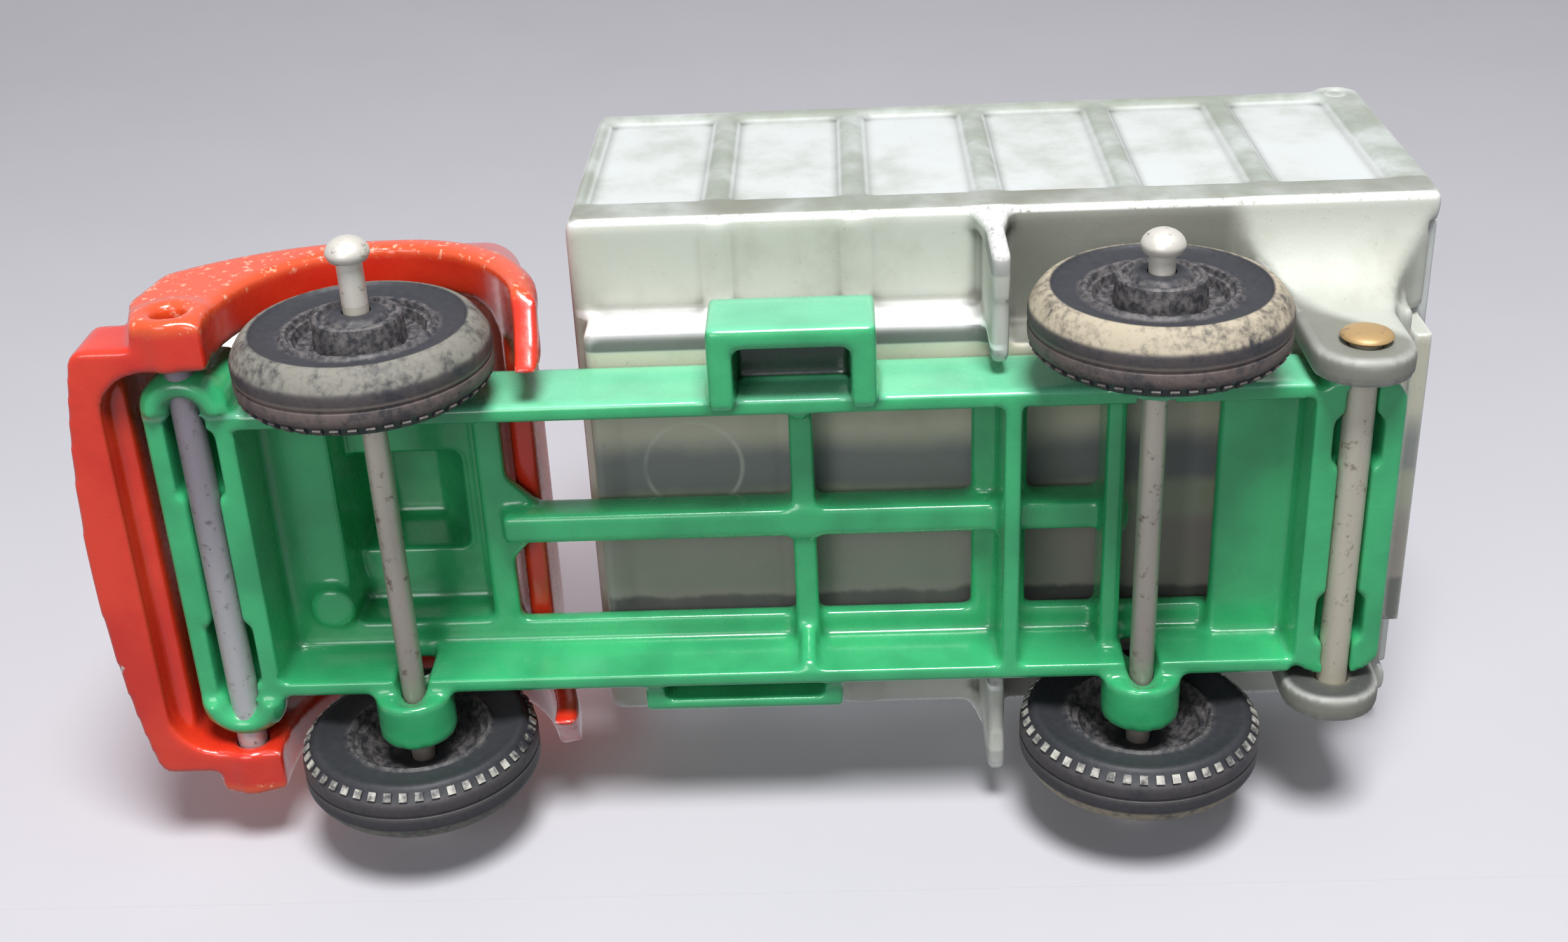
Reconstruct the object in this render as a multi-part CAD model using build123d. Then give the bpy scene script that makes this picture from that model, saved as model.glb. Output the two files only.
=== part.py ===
from build123d import *
import os

# Die-cast toy tipper truck with a tilting cab.
# Millimetres, +Z up, front of the truck towards -Y, left side towards +X, standing on its wheels at z = 0.

# ---- Driving dimensions ----
WHEELBASE = 37.3
WHEEL_R = 6.1
AXLE_Z = WHEEL_R
FRONT_AXLE_Y = -WHEELBASE / 2
REAR_AXLE_Y = WHEELBASE / 2
RUN_GAP = 0.05            # radial running clearance of every turning fit

AXLE_R = 0.62
AXLE_HALF = 15.2          # middle of an axle to the inner side of its head
AXLE_SLIDE = 0.45         # the front axle has slid to the left and the rear one to the right
HEAD_R = 1.05
HEAD_H = 1.1
PIN_R = 0.75              # both hinge pins

TREAD_W = 2.3             # a wheel's widths from its inner face: to the end of the tread,
SIDEWALL = 3.3            # to the outer sidewall
HUB_W = 3.9               # and to the hub's face
WHEEL_INNER = {           # inner face of each wheel, from the middle of the truck
    "front_wheel_left": 9.2,
    "front_wheel_right": 10.2,
    "rear_wheel_left": 9.9,
    "rear_wheel_right": 10.2,
}

CHASSIS_HALF = 8.1
RAIL_T = 0.85
RAIL_BOTTOM = 5.6
RAIL_TOP = 10.1
DECK_T = 0.9
FRONT_PIN_Y = -27.5
REAR_PIN_Y = 28.3
PIN_Z = AXLE_Z
TROUGH_HALF = 2.15        # half width of a pin trough, over its walls
FRONT_TROUGH_END = 9.9
CHASSIS_FRONT = FRONT_PIN_Y - TROUGH_HALF
REAR_DECK_TOP = 9.3

HOPPER_HALF = 14.6
HOPPER_FRONT = -9.7
HOPPER_REAR = 33.4
LEDGE_Z = 13.15
RIM_Z = 30.6
KEEL_HALF = 9.6
KEEL_Z = 10.35
WELL_IN = 8.45            # the keel's side beside the rear wheels
HOPPER_WALL = 1.1
PANEL_INSET = 0.4
RIB_W = 0.95
RIB_YS = (-2.2, 4.7, 11.5, 18.5, 25.2)
EAR_IN = 8.5
EAR_OUT = 10.0
TAILGATE_Y = 31.9
FLOOR_REAR = TAILGATE_Y - 0.12
GATE_BOTTOM = LEDGE_Z + 0.5
GATE_PIN_Z = 30.2
GATE_PIN_Y = TAILGATE_Y + 0.15

CAB_FRONT = -33.4
CAB_REAR = -11.8
CAB_NOSE = -32.4          # the cab's front wall, behind the bumper's lip
CAB_HALF = 12.0
CAB_BOTTOM = 4.65
CAB_WALL = 1.25
BELT_Z = 14.5             # the cab narrows from here up to its roof
ROOF_Z = 27.2
ROOF_HALF = 8.4
ROOF_FRONT = -28.6
ROOF_REAR = -14.4
WINDOW_SILL = 17.0
WINDOW_TOP = 24.6
ARCH_OUT = 13.2


def box(x0, x1, y0, y1, z0, z1):
    """A block between two corners."""
    middle = ((x0 + x1) / 2, (y0 + y1) / 2, (z0 + z1) / 2)
    return Pos(*middle) * Box(x1 - x0, y1 - y0, z1 - z0)


def rod(x0, x1, y, z, radius):
    """A round bar along X."""
    return Pos((x0 + x1) / 2, y, z) * Rot(0, 90, 0) * Cylinder(radius, x1 - x0)


def mirrored(shape):
    """The same shape on the other side of the truck."""
    return mirror(shape, about=Plane.YZ)


def both_sides(shape):
    return shape + mirrored(shape)


def side_profile(points, x0, x1):
    """An outline in (y, z), extruded along X from x0 to x1."""
    face = make_face(Polyline(*points, close=True))
    return Pos(x0, 0, 0) * extrude(Plane.YZ * face, amount=x1 - x0)


def end_profile(points, y0, y1):
    """An outline in (x, z), extruded along Y from y0 to y1."""
    face = make_face(Polyline(*points, close=True))
    return Pos(0, y1, 0) * extrude(Plane.XZ * face, amount=y1 - y0)


def plan_profile(points, z0, z1):
    """An outline in (x, y), extruded upwards from z0 to z1."""
    face = make_face(Polyline(*points, close=True))
    return Pos(0, 0, z0) * extrude(Plane.XY * face, amount=z1 - z0)


def edges_along(shape, axis, x=None, y=None, z=None, tol=0.15):
    """Edges parallel to an axis whose middle lies at the given places."""
    found = shape.edges().filter_by(axis)
    for value, name in ((x, "X"), (y, "Y"), (z, "Z")):
        if value is not None:
            found = [e for e in found if abs(getattr(e.center(), name) - value) < tol]
    return found


# ---- Chassis ----
def rail(half):
    """One side rail: an outer wall with a flange turned in along its top."""
    wall = box(half - RAIL_T, half, CHASSIS_FRONT + 3, REAR_PIN_Y, RAIL_BOTTOM, RAIL_TOP)
    flange = box(half - 2.1, half, CHASSIS_FRONT + 3, REAR_PIN_Y - 4, RAIL_TOP - DECK_T, RAIL_TOP)
    return wall + flange


def pin_trough(pin_y, end_half, top):
    """The open-bottomed trough that grips a hinge pin, with rounded ends."""
    body = box(-end_half, end_half, pin_y - TROUGH_HALF, pin_y + TROUGH_HALF, RAIL_BOTTOM, top)
    body = fillet(body.edges().filter_by(Axis.Z), 1.3)
    slot = box(-end_half + 1.8, end_half - 1.8, pin_y - 1.15, pin_y + 1.15, RAIL_BOTTOM - 1, PIN_Z + 1.1)
    slot = fillet(slot.edges().filter_by(Axis.Z), 0.6)
    grip = box(-3.6, 3.6, pin_y - 1.3, pin_y + 1.3, RAIL_BOTTOM, PIN_Z + 1.3)
    bore = rod(-end_half - 1, end_half + 1, pin_y, PIN_Z, PIN_R + RUN_GAP)
    throat = box(-4, 4, pin_y - PIN_R - RUN_GAP, pin_y + PIN_R + RUN_GAP, RAIL_BOTTOM - 1, PIN_Z)
    return body - slot + (grip - throat) - bore


def axle_carrier(axle_y):
    """Both ends of an axle: the rail bulges round a slot, and a boss carries the axle further out."""
    bulge_top = AXLE_Z + 1.55
    bulge = Pos(7.85, axle_y, (RAIL_BOTTOM + bulge_top) / 2) * Cylinder(1.9, bulge_top - RAIL_BOTTOM)
    bulge &= box(7.3, 11, axle_y - 3, axle_y + 3, RAIL_BOTTOM, bulge_top)
    boss = rod(8.0, 10.6, axle_y, AXLE_Z, 2.0)
    slot = Pos(7.6, axle_y, RAIL_BOTTOM + 1.2) * Cylinder(0.8, 4.4)
    slot += box(6.0, 7.6, axle_y - 0.8, axle_y + 0.8, RAIL_BOTTOM - 1, RAIL_BOTTOM + 3.4)
    bore = rod(5, 12, axle_y, AXLE_Z, AXLE_R + RUN_GAP)
    return both_sides(bulge + boss), both_sides(slot + bore)


def engine_cover():
    """The two-step engine hump under the cab, cast hollow and open underneath."""
    skirt = side_profile([(-23.0, 9.2), (-22.9, 12.4), (-14.2, 12.4), (-13.9, 11.6), (-13.9, 9.2)], -6.8, 6.8)
    tower_side = [(-22.9, 12), (-22.7, 14.8), (-21.0, 16.4), (-17.4, 16.4), (-15.4, 13.9), (-15.0, 12)]
    tower = side_profile(tower_side, -3.7, 3.7)
    pocket = side_profile([(-22.0, 8), (-21.9, 11.6), (-15.0, 11.6), (-14.7, 11.0), (-14.7, 8)], -5.9, 5.9)
    well_side = [(-21.9, 11), (-21.7, 14.4), (-20.6, 15.6), (-17.8, 15.6), (-16.2, 13.5), (-15.9, 11)]
    well = side_profile(well_side, -2.8, 2.8)
    rocker = box(-3.1, -1.3, -20.4, -17.8, 16.2, 16.9)
    filter_can = Pos(0, -19.1, 16.7) * Cylinder(1.1, 1.0)
    return skirt + tower + both_sides(rocker) + filter_can, pocket + well


def left_step_box():
    """The open-bottomed box that hangs on the left rail."""
    outer = box(8.0, 12.2, -2.4, 5.5, 4.4, 9.0)
    outer = fillet(edges_along(outer, Axis.Y, x=12.2, z=9.0), 0.9)
    inner = box(7.0, 11.1, -1.2, 4.3, 3.4, 8.0)
    ramps = side_profile([(-2.4, 3.4), (-1.9, 4.4), (5.0, 4.4), (5.5, 3.4)], 7.5, 13)
    return outer - inner - ramps


def right_step_box():
    """The shallow battery box on the right rail."""
    outer = box(-9.9, -8.0, -6.7, 3.5, 6.0, 8.9)
    outer = fillet(edges_along(outer, Axis.Y, x=-9.9), 0.5)
    return outer - box(-9.1, -8.1, -5.7, 2.5, 5, 8.0)


def chassis():
    """The base casting, ribbed and open between its rails."""
    body = both_sides(rail(CHASSIS_HALF))
    inner = CHASSIS_HALF - 0.3
    # Pan under the cab, with the chamfered gussets that meet the spine
    pan = box(-inner, inner, CHASSIS_FRONT + 2, -13.3, RAIL_TOP - DECK_T, RAIL_TOP)
    webs = plan_profile([(-0.8, -13.4), (-2.4, -13.4), (-0.8, -11.8)], RAIL_TOP - DECK_T, RAIL_TOP)
    body += pan + both_sides(webs)
    # Spine, thin rib, deep wall, axle wall and rear plate
    body += box(-0.8, 0.8, -13.5, 18.0, 8.0, RAIL_TOP)
    body += box(-inner, inner, 1.15, 2.35, 8.2, RAIL_TOP)
    rib_foot = end_profile([(7.4, 5.75), (7.4, 8.4), (5.9, 8.4), (6.9, 5.75)], 1.35, 2.15)
    body += both_sides(rib_foot)
    body += box(-inner, inner, 10.2, 13.0, RAIL_TOP - DECK_T, RAIL_TOP)
    body += box(-inner, inner, 11.5, 12.4, RAIL_BOTTOM, RAIL_TOP)
    body += box(-inner, inner, 16.6, 17.6, 7.1, RAIL_TOP)
    body += box(-inner, inner, 22.3, REAR_PIN_Y - 1.5, REAR_DECK_TOP - DECK_T, REAR_DECK_TOP)
    # Engine hump, and the round lug at its front corner
    hump, hollow = engine_cover()
    body = body + hump - hollow
    body += Pos(-4.6, -22.9, RAIL_TOP) * Cylinder(1.2, 3.4)
    # Boxes on the rails
    body += left_step_box() + right_step_box()
    # Axle carriers and the two hinge troughs
    for axle_y in (FRONT_AXLE_Y, REAR_AXLE_Y):
        solid, hollow = axle_carrier(axle_y)
        body = body + solid - hollow
    clear_front = box(-7.25, 7.25, FRONT_PIN_Y - 1.1, FRONT_PIN_Y + 1.1, RAIL_BOTTOM - 1, PIN_Z + 1.1)
    body = body - clear_front + pin_trough(FRONT_PIN_Y, FRONT_TROUGH_END, RAIL_TOP)
    body = body - box(-12, 12, REAR_PIN_Y - TROUGH_HALF, 40, 0, 20)
    body += pin_trough(REAR_PIN_Y, 8.15, REAR_DECK_TOP)
    body -= box(-12, 12, REAR_PIN_Y - 4, 40, REAR_DECK_TOP, 20)
    return body


# ---- Rolling parts ----
def wheel(side, axle_y, inner):
    """A moulded wheel: a proud hub in a dished face, a hollow back and a wide bevelled shoulder."""
    bore = AXLE_R + RUN_GAP
    back = [(bore, 1.9), (2.3, 1.9), (3.5, 0.7), (3.5, 0.3), (5.3, 0), (WHEEL_R, 0.6)]
    front = [
        (WHEEL_R, TREAD_W), (5.3, SIDEWALL), (3.6, SIDEWALL - 0.2), (3.0, 2.3), (2.2, 2.3),
        (2.1, HUB_W - 0.2), (bore, HUB_W),
    ]
    body = revolve(Plane.XZ * make_face(Polyline(*back, *front, close=True)), Axis.Z)
    placed = Pos(inner, axle_y, AXLE_Z) * Rot(0, 90, 0) * body
    return placed if side > 0 else mirrored(placed)


def dome(radius, height):
    """A formed head, flat underneath and bevelled over, with its axis along +X."""
    disc = Cylinder(radius, height, align=(Align.CENTER, Align.CENTER, Align.MIN))
    rim = disc.edges().filter_by(GeomType.CIRCLE).sort_by(Axis.Z)[-1]
    return Rot(0, 90, 0) * chamfer(rim, height * 0.4)


def axle(axle_y, slide):
    """A steel rod with a domed head formed on each end, slid a little along itself."""
    body = rod(-AXLE_HALF, AXLE_HALF, axle_y, AXLE_Z, AXLE_R)
    head = Pos(AXLE_HALF, axle_y, AXLE_Z) * dome(HEAD_R, HEAD_H)
    return Pos(slide, 0, 0) * (body + both_sides(head))


def cab_pin():
    """The plain pin that the cab tilts on."""
    body = rod(-11.8, 11.8, FRONT_PIN_Y, PIN_Z, PIN_R)
    return chamfer(body.edges(), 0.15)


def hopper_pin():
    """The pin that the hopper tips on, riveted over outside both ears."""
    body = rod(-EAR_OUT - 0.1, EAR_OUT + 0.1, REAR_PIN_Y, PIN_Z, PIN_R)
    head = Pos(EAR_OUT + 0.08, REAR_PIN_Y, PIN_Z) * dome(1.25, 0.55)
    return body + both_sides(head)


# ---- Hopper ----
def gusset():
    """The hanging plate in front of a rear wheel, flared where it meets the ledge."""
    top = LEDGE_Z + 0.6
    web = end_profile([(8.7, top), (8.7, 7.3), (14.4, 6.75), (14.6, 7.3), (14.6, top)], 10.95, 11.85)
    bar = box(13.7, 14.6, 10.95, 11.85, 6.9, top)
    flare = side_profile([(10.3, top), (10.95, 10.9), (11.85, 10.9), (12.5, top)], 13.7, 14.6)
    return web + bar + flare


def ear():
    """The bracket behind a rear wheel: it narrows from the ledge to a rounded ear on the hinge pin."""
    top = LEDGE_Z + 0.3
    front_y = REAR_PIN_Y - 2.55
    rear_y = REAR_PIN_Y + 2.35
    path = Polyline((23.4, top), (front_y, 11.0), (front_y, PIN_Z))
    bottom = ThreePointArc((front_y, PIN_Z), (REAR_PIN_Y - 0.1, PIN_Z - 2.4), (rear_y, PIN_Z))
    back = Line((rear_y, PIN_Z), (rear_y, 9.6))
    cove = ThreePointArc((rear_y, 9.6), (rear_y + 0.6, 11.6), (rear_y + 2.3, LEDGE_Z))
    end = Polyline((rear_y + 2.3, LEDGE_Z), (rear_y + 2.3, top), (23.4, top))
    outline = make_face(path + bottom + back + cove + end)
    slab = Pos(EAR_IN, 0, 0) * extrude(Plane.YZ * outline, amount=HOPPER_HALF - EAR_IN)
    lower = Polyline((EAR_IN, 3), (EAR_OUT, 3), (EAR_OUT, 9.4))
    sweep_out = ThreePointArc((EAR_OUT, 9.4), (11.1, 11.7), (14.2, LEDGE_Z))
    ledge_end = [(14.2, LEDGE_Z), (HOPPER_HALF, LEDGE_Z + 0.1), (HOPPER_HALF, top)]
    upper = Polyline(*ledge_end, (EAR_IN, top), (EAR_IN, 3))
    section = make_face(lower + sweep_out + upper)
    keep = Pos(0, 40, 0) * extrude(Plane.XZ * section, amount=25)
    return slab & keep


def hopper_side_cuts():
    """The recessed panels of one side, between its ribs, end posts, ledge strip and rim strip."""
    stations = (HOPPER_FRONT + 0.25,) + RIB_YS + (HOPPER_REAR - 1.5,)
    cuts = []
    for first, second in zip(stations, stations[1:]):
        lo = first + RIB_W / 2
        hi = second - RIB_W / 2
        cuts.append(box(HOPPER_HALF - PANEL_INSET, HOPPER_HALF + 1, lo, hi, LEDGE_Z + 2.5, RIM_Z - 1.1))
    return cuts


def hopper():
    """The tipping body: an open-topped shell on a keel, with ribs, ledge, gussets and hinge ears."""
    outer = box(-HOPPER_HALF, HOPPER_HALF, HOPPER_FRONT, HOPPER_REAR, LEDGE_Z, RIM_Z)
    outer = fillet(edges_along(outer, Axis.Z, y=HOPPER_FRONT), 0.7)
    outer = chamfer(edges_along(outer, Axis.Y, z=LEDGE_Z), 0.35)
    keel_front = HOPPER_FRONT + 0.8
    outer += box(-KEEL_HALF, KEEL_HALF, keel_front, FLOOR_REAR, KEEL_Z, LEDGE_Z + 0.5)
    wall_in = HOPPER_HALF - PANEL_INSET - HOPPER_WALL
    keel_in = KEEL_HALF - HOPPER_WALL
    space = box(-wall_in, wall_in, HOPPER_FRONT + HOPPER_WALL, HOPPER_REAR + 1, LEDGE_Z + 1.1, RIM_Z + 1)
    space = fillet(edges_along(space, Axis.Z, y=HOPPER_FRONT + HOPPER_WALL), 0.8)
    space += box(-keel_in, keel_in, keel_front + HOPPER_WALL, HOPPER_REAR + 1, KEEL_Z + 1.1, LEDGE_Z + 2)
    gate_gap = box(-wall_in, wall_in, FLOOR_REAR, HOPPER_REAR + 1, KEEL_Z - 1, RIM_Z + 1)
    body = outer - space - gate_gap
    # The keel steps in beside the rear wheels
    well_front = 11.85
    well_rear = REAR_PIN_Y - 2.6
    inner = WELL_IN - HOPPER_WALL
    body += both_sides(box(inner, KEEL_HALF, well_front - 1.1, well_rear + 1.1, KEEL_Z, LEDGE_Z + 1.1))
    body -= both_sides(box(WELL_IN, 20, well_front, well_rear, 0, LEDGE_Z))
    for cut in hopper_side_cuts():
        body -= cut
        body -= mirrored(cut)
    # Sunk panels under the floor and the round ejector mark
    for y0, y1 in ((-7.9, 0.9), (2.6, 10.6), (12.8, 21.4)):
        body -= box(-6.6, 6.6, y0, y1, KEEL_Z - 1, KEEL_Z + 0.18)
    for rib_y in RIB_YS[:2]:
        body += both_sides(box(9.4, 14.3, rib_y - 0.45, rib_y + 0.45, LEDGE_Z - 0.22, LEDGE_Z + 0.5))
    body += both_sides(gusset() + ear())
    # Posts above the rim that carry the tailgate pins
    body += both_sides(rod(HOPPER_HALF - 1.5, HOPPER_HALF, GATE_PIN_Y, GATE_PIN_Z, 1.3))
    body -= rod(-20, 20, GATE_PIN_Y, GATE_PIN_Z, 0.65 + RUN_GAP)
    # The ear swings round the rear of the base, so the keel is bored for the pin only
    body -= rod(-12, 12, REAR_PIN_Y, PIN_Z, PIN_R + RUN_GAP)
    return body


def tailgate():
    """The rear door, hung on two round lugs at its top corners."""
    half = HOPPER_HALF - PANEL_INSET - HOPPER_WALL - 0.15
    top = RIM_Z - 0.2
    body = box(-half, half, TAILGATE_Y, TAILGATE_Y + 0.9, GATE_BOTTOM, top)
    body += box(-half, half, TAILGATE_Y, HOPPER_REAR, GATE_BOTTOM, GATE_BOTTOM + 1.1)
    body += box(-half, half, TAILGATE_Y, HOPPER_REAR, top - 1, top)
    for x in (-half + 0.5, -half / 2, 0, half / 2, half - 0.5):
        body += box(x - 0.5, x + 0.5, TAILGATE_Y, HOPPER_REAR, GATE_BOTTOM, top)
    body += box(-8.2, 8.2, TAILGATE_Y, TAILGATE_Y + 0.9, KEEL_Z + 0.2, GATE_BOTTOM + 0.1)
    lug = rod(half - 1.2, HOPPER_HALF - 0.1, GATE_PIN_Y, GATE_PIN_Z, 0.65)
    collar = rod(half - 1.2, half, GATE_PIN_Y, GATE_PIN_Z, 1.1)
    return body + both_sides(lug + collar)


# ---- Cab ----
def round_corners(block, inset):
    """Round a cab block's upright edges: wide at the front, tighter at the back."""
    front = [e for e in block.edges() if abs(e.tangent_at(0.5).Z) > 0.5 and e.center().Y < FRONT_AXLE_Y]
    block = fillet(front, 3.6 - inset)
    back = [e for e in block.edges() if abs(e.tangent_at(0.5).Z) > 0.5 and e.center().Y > CAB_REAR - 5]
    return fillet(back, 2.0 - inset / 2)


def cab_block(inset, bottom):
    """The cab's outer block, or the same block shrunk on every face but the underside."""
    half = CAB_HALF - inset
    nose = CAB_NOSE + inset
    rear = CAB_REAR - inset
    top = ROOF_Z - inset
    lower = box(-half, half, nose, rear, bottom, BELT_Z)
    # The upper half steps in a little at the belt and leans in on all four sides
    step = 0.12
    side = [(nose + step, BELT_Z), (ROOF_FRONT + inset, top), (ROOF_REAR - inset, top), (rear - step, BELT_Z)]
    end = [(half - step, BELT_Z), (ROOF_HALF - inset, top), (inset - ROOF_HALF, top), (step - half, BELT_Z)]
    upper = side_profile(side, -half, half) & end_profile(end, nose - 1, rear + 1)
    return round_corners(lower, inset) + round_corners(upper, inset)


def fender():
    """The flared skin round a front wheel, blended forward to the hinge lug."""
    front = Polyline((-29.0, CAB_BOTTOM), (-30.0, 8.0), (-29.2, 12.3))
    crown = ThreePointArc((-29.2, 12.3), (-24.6, 14.9), (-18.4, 15.9))
    fall = ThreePointArc((-18.4, 15.9), (-13.0, 13.9), (-10.6, 8.5))
    rear = Polyline((-10.6, 8.5), (-10.4, CAB_BOTTOM), (-29.0, CAB_BOTTOM))
    root = CAB_HALF - 0.4
    outline = make_face(front + crown + fall + rear)
    skin = Pos(root, 0, 0) * extrude(Plane.YZ * outline, amount=ARCH_OUT - root)
    rim = [e for e in skin.edges().filter_by(GeomType.CIRCLE) if abs(e.center().X - ARCH_OUT) < 0.01]
    return chamfer(rim, 0.7)


def arch(grow, x0, x1):
    """An oval bar round the front wheel, used for the arch's liner and for its opening."""
    oval = make_face(Ellipse(7.1 + grow, 7.95 + grow).edges())
    return Pos(x0, FRONT_AXLE_Y, AXLE_Z) * extrude(Plane.YZ * oval, amount=x1 - x0)


def bumper():
    """The bumper lip: bowed forward in plan, turned in at the corners and open underneath."""
    corner = CAB_NOSE + 0.3
    front = ThreePointArc((-CAB_HALF, corner), (0, CAB_FRONT), (CAB_HALF, corner))
    rest = Polyline((CAB_HALF, corner), (CAB_HALF, -28.9), (-CAB_HALF, -28.9), (-CAB_HALF, corner))
    outer = extrude(make_face(front + rest), amount=3.4)
    outer = fillet([e for e in outer.edges().filter_by(Axis.Z) if e.center().Y < -30], 0.9)
    inside = CAB_HALF - CAB_WALL
    inner_front = ThreePointArc((-inside, corner + 0.7), (0, CAB_FRONT + 1.9), (inside, corner + 0.7))
    inner_corner = (inside, corner + 0.7)
    inner_rest = Polyline(inner_corner, (inside, -28), (-inside, -28), (-inside, corner + 0.7))
    inner = extrude(make_face(inner_front + inner_rest), amount=3.4)
    return Pos(0, 0, CAB_BOTTOM) * (outer - inner)


def hinge_lug():
    """The boss on the cab's side that turns on the end of the hinge pin."""
    inner = CAB_HALF - CAB_WALL
    boss = rod(inner, ARCH_OUT + 0.2, FRONT_PIN_Y, PIN_Z, 1.7)
    return boss + box(inner, CAB_HALF, FRONT_PIN_Y - 1.7, FRONT_PIN_Y + 1.5, PIN_Z, 9.0)


def cab():
    """The tilting cab: a thin shell with windows, flared arches, bumper, grille and hinge lugs."""
    body = cab_block(0, CAB_BOTTOM) + both_sides(fender() + arch(1.2, 9.8, ARCH_OUT - 0.4))
    body -= box(-20, 20, -40, 0, -5, CAB_BOTTOM)
    under = CAB_BOTTOM - 3
    slope = end_profile([(14, under), (14, 8.3), (13.3, 8.3), (9.4, 4.9), (9.4, under)], -18, -9)
    body -= both_sides(slope)
    body -= cab_block(CAB_WALL, CAB_BOTTOM)
    body -= box(-9.7, 9.7, -30, -9, 0, 10.4)
    body -= both_sides(arch(0, 7.0, 15))
    body += bumper()
    # Inner wall behind the bumper
    body += box(-10.9, 10.9, -31.2, -30.3, 6.0, 12.0)
    body += both_sides(hinge_lug())
    body -= rod(-20, 20, FRONT_PIN_Y, PIN_Z, PIN_R + RUN_GAP)
    # Windows: one screen, two on each side and one at the back
    body -= box(-7.6, 7.6, -34, -28.0, WINDOW_SILL + 0.6, WINDOW_TOP)
    for y0, y1 in ((-27.6, -21.9), (-20.6, -16.0)):
        opening = box(-14, 14, y0, y1, WINDOW_SILL, WINDOW_TOP)
        body -= fillet(opening.edges().filter_by(Axis.X), 0.7)
    body -= box(-6.4, 6.4, -16, -11, WINDOW_SILL + 1.4, WINDOW_TOP)
    # Grille slots and headlamps
    for k in range(4):
        slot_z = 9.8 + 1.3 * k
        body -= box(-6.2, 6.2, CAB_NOSE - 1, CAB_NOSE + 0.4, slot_z, slot_z + 0.65)
    for x in (-8.0, 8.0):
        body += Pos(x, CAB_NOSE, 11.8) * Rot(90, 0, 0) * Cylinder(1.3, 0.8)
    return body


def cab_glazing():
    """The clear window moulding that fills the cab's openings from inside."""
    outer = cab_block(CAB_WALL + 0.03, BELT_Z - 1)
    inner = cab_block(CAB_WALL + 0.75, BELT_Z - 1)
    return (outer - inner) & box(-20, 20, -40, 0, WINDOW_SILL - 0.9, ROOF_Z - 1.9)


# ---- All pieces ----
def pieces():
    made = {
        "chassis": chassis(),
        "cab_shell": cab(),
        "cab_glazing": cab_glazing(),
        "cab_hinge_pin": cab_pin(),
        "hopper": hopper(),
        "hopper_hinge_pin": hopper_pin(),
        "tailgate": tailgate(),
        "front_axle": axle(FRONT_AXLE_Y, AXLE_SLIDE),
        "rear_axle": axle(REAR_AXLE_Y, -AXLE_SLIDE),
    }
    for name, inner in WHEEL_INNER.items():
        axle_y = FRONT_AXLE_Y if name.startswith("front") else REAR_AXLE_Y
        side = 1 if name.endswith("left") else -1
        made[name] = wheel(side, axle_y, inner)
    return made


def main():
    os.makedirs("parts", exist_ok=True)
    for name, shape in pieces().items():
        solids = shape.solids()
        whole = solids[0] if len(solids) == 1 else Compound(list(solids))
        export_step(whole, f"parts/{name}.step")


main()
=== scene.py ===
from math import atan2, cos, hypot, pi, radians, sin

import bpy
from mathutils import Matrix, Vector


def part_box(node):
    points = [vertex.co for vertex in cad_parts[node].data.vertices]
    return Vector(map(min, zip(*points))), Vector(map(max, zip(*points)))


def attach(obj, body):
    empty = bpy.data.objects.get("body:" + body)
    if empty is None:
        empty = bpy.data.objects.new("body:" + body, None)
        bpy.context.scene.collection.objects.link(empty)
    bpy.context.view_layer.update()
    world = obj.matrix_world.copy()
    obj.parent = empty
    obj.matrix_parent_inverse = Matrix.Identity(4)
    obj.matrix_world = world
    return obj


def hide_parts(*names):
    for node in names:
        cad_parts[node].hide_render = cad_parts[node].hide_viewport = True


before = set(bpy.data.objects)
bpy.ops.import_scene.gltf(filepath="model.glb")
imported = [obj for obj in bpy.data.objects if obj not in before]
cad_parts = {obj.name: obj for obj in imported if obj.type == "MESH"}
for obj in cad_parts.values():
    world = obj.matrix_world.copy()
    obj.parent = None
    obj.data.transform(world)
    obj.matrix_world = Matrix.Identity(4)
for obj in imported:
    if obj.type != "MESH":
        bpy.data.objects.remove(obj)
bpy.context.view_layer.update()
MM = 0.001

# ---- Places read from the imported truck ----
wheel_low, wheel_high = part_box("front_wheel_left")
axle_low, axle_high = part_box("rear_axle")
AXLE_Z = (wheel_low.z + wheel_high.z) / 2


# ---- Small helpers for modelling ----
def alone(obj):
    """Select one object and make it the one that operators work on."""
    bpy.ops.object.select_all(action="DESELECT")
    obj.select_set(True)
    bpy.context.view_layer.objects.active = obj


def edit(obj):
    alone(obj)
    bpy.ops.object.mode_set(mode="EDIT")


def done():
    bpy.ops.object.mode_set(mode="OBJECT")


def apply_modifier(obj, kind, **settings):
    """Add a modifier with these settings and apply it at once."""
    alone(obj)
    modifier = obj.modifiers.new(kind.lower(), kind)
    for name, value in settings.items():
        setattr(modifier, name, value)
    bpy.ops.object.modifier_apply(modifier=modifier.name)


def smooth_by_angle(obj, degrees_limit):
    alone(obj)
    bpy.ops.object.shade_smooth_by_angle(angle=radians(degrees_limit))


def place(obj, body, node, material):
    """Hang a finished piece on its body, in place of its plain node."""
    obj.data.materials.clear()
    obj.data.materials.append(material)
    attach(obj, body)
    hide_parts(node)


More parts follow.
